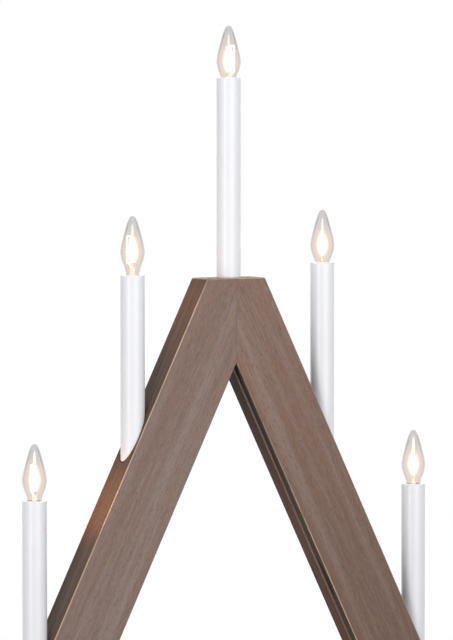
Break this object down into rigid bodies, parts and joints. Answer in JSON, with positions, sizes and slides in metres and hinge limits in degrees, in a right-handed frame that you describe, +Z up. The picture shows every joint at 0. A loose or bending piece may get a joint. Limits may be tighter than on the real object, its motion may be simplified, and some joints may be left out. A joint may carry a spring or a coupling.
{
  "type": "candle arch",
  "caption": "Electric candle arch: stained boards mitred into an upside-down V carry upright white candle tubes with flame-shaped bulbs that unscrew.",
  "frame": {"origin": "on the floor, midway between the feet", "axes": "+X to the right, +Y to the back, +Z up; seen from the front the broad faces look along -Y"},
  "size_m": [0.3964, 0.12, 0.5344],
  "materials": {
    "stained_wood": "brown stain, open grain",
    "cover_wood": "brown stain",
    "dowel_wood": "bare beech",
    "tube_plastic": "glossy cool white",
    "holder_plastic": "moulded white",
    "brass": "bright",
    "cap_brass": "bright",
    "base_insulator": "black glass",
    "bulb_glass": "clear",
    "stem_glass": "clear",
    "lit_strip": "lit phosphor",
    "felt": "pressed felt",
    "screw_steel": "zinc plated",
    "bushing_rubber": "matt black",
    "wire_insulation": "soft white",
    "splice_metal": "tinned"
  },
  "bodies": {
    "frame": {"left_leg": "stained_wood", "right_leg": "stained_wood", "left_cable_cover": "cover_wood", "right_cable_cover": "cover_wood", "left_foot": "stained_wood", "right_foot": "stained_wood", "felt_pads": "felt", "foot_screws": "screw_steel", "mitre_dowels": "dowel_wood", "cord_bushing": "bushing_rubber", "series_wires": "wire_insulation", "supply_wire": "wire_insulation", "return_wire": "wire_insulation", "crimp_splices": "splice_metal", "left_low_candle_tube": "tube_plastic", "left_low_lampholder": "holder_plastic", "left_low_screw_shell": "brass", "left_low_centre_contact": "brass", "left_mid_candle_tube": "tube_plastic", "left_mid_lampholder": "holder_plastic", "left_mid_screw_shell": "brass", "left_mid_centre_contact": "brass", "top_candle_tube": "tube_plastic", "top_lampholder": "holder_plastic", "top_screw_shell": "brass", "top_centre_contact": "brass", "right_mid_candle_tube": "tube_plastic", "right_mid_lampholder": "holder_plastic", "right_mid_screw_shell": "brass", "right_mid_centre_contact": "brass", "right_low_candle_tube": "tube_plastic", "right_low_lampholder": "holder_plastic", "right_low_screw_shell": "brass", "right_low_centre_contact": "brass"},
    "left_low_bulb_foot": {"left_low_bulb_base": "base_insulator"},
    "left_low_bulb": {"left_low_bulb_cap": "cap_brass", "left_low_bulb_glass": "bulb_glass", "left_low_bulb_stem": "stem_glass", "left_low_led_filament": "lit_strip"},
    "left_mid_bulb_foot": {"left_mid_bulb_base": "base_insulator"},
    "left_mid_bulb": {"left_mid_bulb_cap": "cap_brass", "left_mid_bulb_glass": "bulb_glass", "left_mid_bulb_stem": "stem_glass", "left_mid_led_filament": "lit_strip"},
    "top_bulb_foot": {"top_bulb_base": "base_insulator"},
    "top_bulb": {"top_bulb_cap": "cap_brass", "top_bulb_glass": "bulb_glass", "top_bulb_stem": "stem_glass", "top_led_filament": "lit_strip"},
    "right_mid_bulb_foot": {"right_mid_bulb_base": "base_insulator"},
    "right_mid_bulb": {"right_mid_bulb_cap": "cap_brass", "right_mid_bulb_glass": "bulb_glass", "right_mid_bulb_stem": "stem_glass", "right_mid_led_filament": "lit_strip"},
    "right_low_bulb_foot": {"right_low_bulb_base": "base_insulator"},
    "right_low_bulb": {"right_low_bulb_cap": "cap_brass", "right_low_bulb_glass": "bulb_glass", "right_low_bulb_stem": "stem_glass", "right_low_led_filament": "lit_strip"}
  },
  "joints": [
    {"name": "left_low_bulb_rise", "type": "slide", "parent": "frame", "child": "left_low_bulb_foot", "axis": [0, 0, 1], "range_m": [0, 0.0091]},
    {"name": "left_low_bulb_turn", "type": "hinge", "parent": "left_low_bulb_foot", "child": "left_low_bulb", "pos_m": [-0.146, 0, 0.2264], "axis": [0, 0, 1], "range_deg": [0, 1800]},
    {"name": "left_mid_bulb_rise", "type": "slide", "parent": "frame", "child": "left_mid_bulb_foot", "axis": [0, 0, 1], "range_m": [0, 0.0091]},
    {"name": "left_mid_bulb_turn", "type": "hinge", "parent": "left_mid_bulb_foot", "child": "left_mid_bulb", "pos_m": [-0.073, 0, 0.37126], "axis": [0, 0, 1], "range_deg": [0, 1800]},
    {"name": "top_bulb_rise", "type": "slide", "parent": "frame", "child": "top_bulb_foot", "axis": [0, 0, 1], "range_m": [0, 0.0091]},
    {"name": "top_bulb_turn", "type": "hinge", "parent": "top_bulb_foot", "child": "top_bulb", "pos_m": [0, 0, 0.5002], "axis": [0, 0, 1], "range_deg": [0, 1800]},
    {"name": "right_mid_bulb_rise", "type": "slide", "parent": "frame", "child": "right_mid_bulb_foot", "axis": [0, 0, 1], "range_m": [0, 0.0091]},
    {"name": "right_mid_bulb_turn", "type": "hinge", "parent": "right_mid_bulb_foot", "child": "right_mid_bulb", "pos_m": [0.073, 0, 0.37696], "axis": [0, 0, 1], "range_deg": [0, 1800]},
    {"name": "right_low_bulb_rise", "type": "slide", "parent": "frame", "child": "right_low_bulb_foot", "axis": [0, 0, 1], "range_m": [0, 0.0091]},
    {"name": "right_low_bulb_turn", "type": "hinge", "parent": "right_low_bulb_foot", "child": "right_low_bulb", "pos_m": [0.146, 0, 0.2248], "axis": [0, 0, 1], "range_deg": [0, 1800]}
  ],
  "couplings": [
    {"joint": "left_low_bulb_rise", "follows": "left_low_bulb_turn", "m_per_rad": 0.00028871},
    {"joint": "left_mid_bulb_rise", "follows": "left_mid_bulb_turn", "m_per_rad": 0.00028871},
    {"joint": "top_bulb_rise", "follows": "top_bulb_turn", "m_per_rad": 0.00028871},
    {"joint": "right_mid_bulb_rise", "follows": "right_mid_bulb_turn", "m_per_rad": 0.00028871},
    {"joint": "right_low_bulb_rise", "follows": "right_low_bulb_turn", "m_per_rad": 0.00028871}
  ]
}
